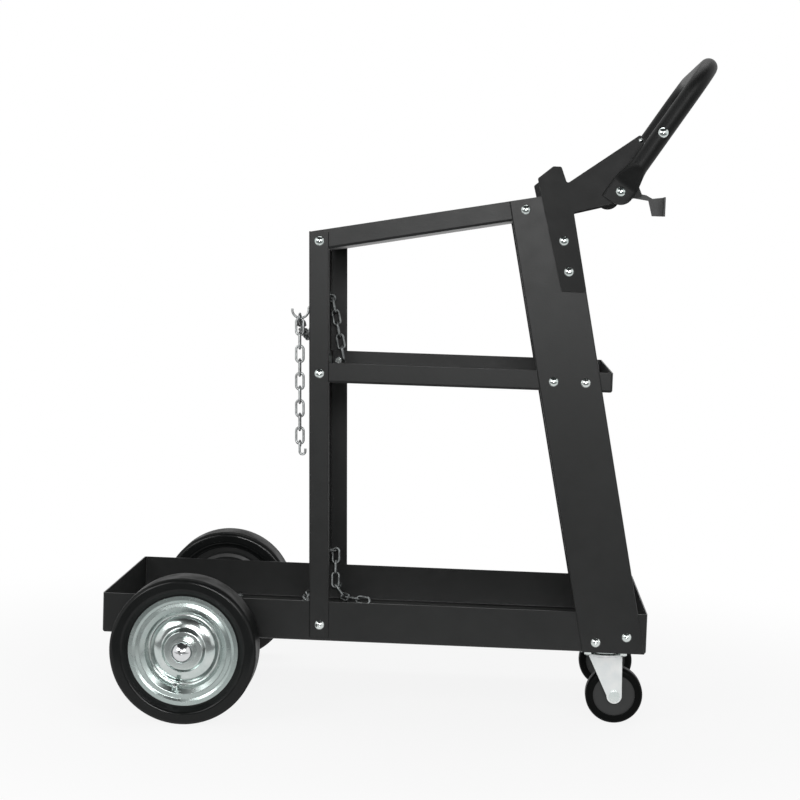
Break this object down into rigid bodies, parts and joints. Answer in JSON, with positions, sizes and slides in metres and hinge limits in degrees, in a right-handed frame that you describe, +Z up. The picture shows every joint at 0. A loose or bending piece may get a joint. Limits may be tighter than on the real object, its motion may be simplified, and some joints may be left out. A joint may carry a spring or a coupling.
{
  "type": "three-tier welding cart",
  "caption": "Black steel welding cart: slanted top shelf over two flat trays, rear bottle platform with chains, big rear wheels, swivel casters in front and a tubular push handle.",
  "frame": {"origin": "on the ground, under the centre of the bounding box", "axes": "+X towards the push handle and the casters, +Y to the far side in the picture, +Z up"},
  "size_m": [0.729, 0.4774, 0.8214],
  "materials": {
    "black_paint": "semi-gloss black powder coat on sheet steel",
    "grey_paint": "satin grey coat on sheet steel",
    "zinc": "bright zinc plated steel",
    "bright_cap": "polished pressed cap",
    "chain_zinc": "zinc plated wire",
    "tyre_rubber": "smooth black solid rubber",
    "caster_rubber": "hard black rubber",
    "caster_plastic": "moulded black plastic"
  },
  "bodies": {
    "frame": {"bottom_tray": "black_paint", "middle_tray": "black_paint", "top_tray": "black_paint", "rear_post_right": "black_paint", "rear_post_left": "black_paint", "front_leg_right": "black_paint", "front_leg_left": "black_paint", "handle_bracket_right": "black_paint", "handle_bracket_left": "black_paint", "handle_tube": "black_paint", "axle_bracket_right": "black_paint", "axle_bracket_left": "black_paint", "cable_hook": "grey_paint", "corner_studs": "zinc", "caster_plate_right": "zinc", "caster_plate_left": "zinc", "king_pin_right": "zinc", "king_pin_left": "zinc", "axle": "zinc", "axle_spacer_right": "zinc", "axle_spacer_left": "zinc", "axle_washers": "zinc", "frame_bolts": "zinc", "frame_nuts": "zinc", "handle_bolts": "zinc", "handle_nuts": "zinc", "floor_bolts": "zinc", "floor_nuts": "zinc", "axle_caps": "bright_cap", "upper_chain": "chain_zinc", "lower_chain": "chain_zinc", "chain_keeper": "chain_zinc", "lower_chain_hook": "chain_zinc"},
    "rear_wheel_right": {"tyre_right": "tyre_rubber", "rim_outer_right": "zinc", "rim_inner_right": "black_paint", "wheel_hub_right": "zinc", "valve_right": "zinc"},
    "rear_wheel_left": {"tyre_left": "tyre_rubber", "rim_outer_left": "zinc", "rim_inner_left": "black_paint", "wheel_hub_left": "zinc", "valve_left": "zinc"},
    "caster_swivel_right": {"caster_fork_right": "zinc", "caster_balls_right": "zinc", "caster_axle_right": "zinc", "caster_nut_right": "zinc"},
    "caster_swivel_left": {"caster_fork_left": "zinc", "caster_balls_left": "zinc", "caster_axle_left": "zinc", "caster_nut_left": "zinc"},
    "caster_wheel_right": {"caster_tread_right": "caster_rubber", "caster_core_right": "caster_plastic", "caster_bush_right": "zinc"},
    "caster_wheel_left": {"caster_tread_left": "caster_rubber", "caster_core_left": "caster_plastic", "caster_bush_left": "zinc"},
    "chain_tail": {"upper_chain_tail": "chain_zinc", "upper_chain_hook": "chain_zinc"}
  },
  "joints": [
    {"name": "rear_wheel_right_spin", "type": "hinge", "parent": "frame", "child": "rear_wheel_right", "pos_m": [-0.2532, -0.203, 0.0889], "axis": [0, 1, 0], "continuous": true},
    {"name": "caster_right_swivel", "type": "hinge", "parent": "frame", "child": "caster_swivel_right", "pos_m": [0.2585, -0.1075, 0.0893], "axis": [0, 0, 1], "continuous": true},
    {"name": "caster_right_spin", "type": "hinge", "parent": "caster_swivel_right", "child": "caster_wheel_right", "pos_m": [0.2715, -0.1075, 0.0355], "axis": [0, 1, 0], "continuous": true},
    {"name": "rear_wheel_left_spin", "type": "hinge", "parent": "frame", "child": "rear_wheel_left", "pos_m": [-0.2532, 0.203, 0.0889], "axis": [0, 1, 0], "continuous": true},
    {"name": "caster_left_swivel", "type": "hinge", "parent": "frame", "child": "caster_swivel_left", "pos_m": [0.2585, 0.1075, 0.0893], "axis": [0, 0, 1], "continuous": true},
    {"name": "caster_left_spin", "type": "hinge", "parent": "caster_swivel_left", "child": "caster_wheel_left", "pos_m": [0.2715, 0.1075, 0.0355], "axis": [0, 1, 0], "continuous": true},
    {"name": "chain_tail_swing", "type": "hinge", "parent": "frame", "child": "chain_tail", "pos_m": [-0.13101, -0.14414, 0.48756], "axis": [0, 1, 0], "range_deg": [-0.5, 60]}
  ]
}
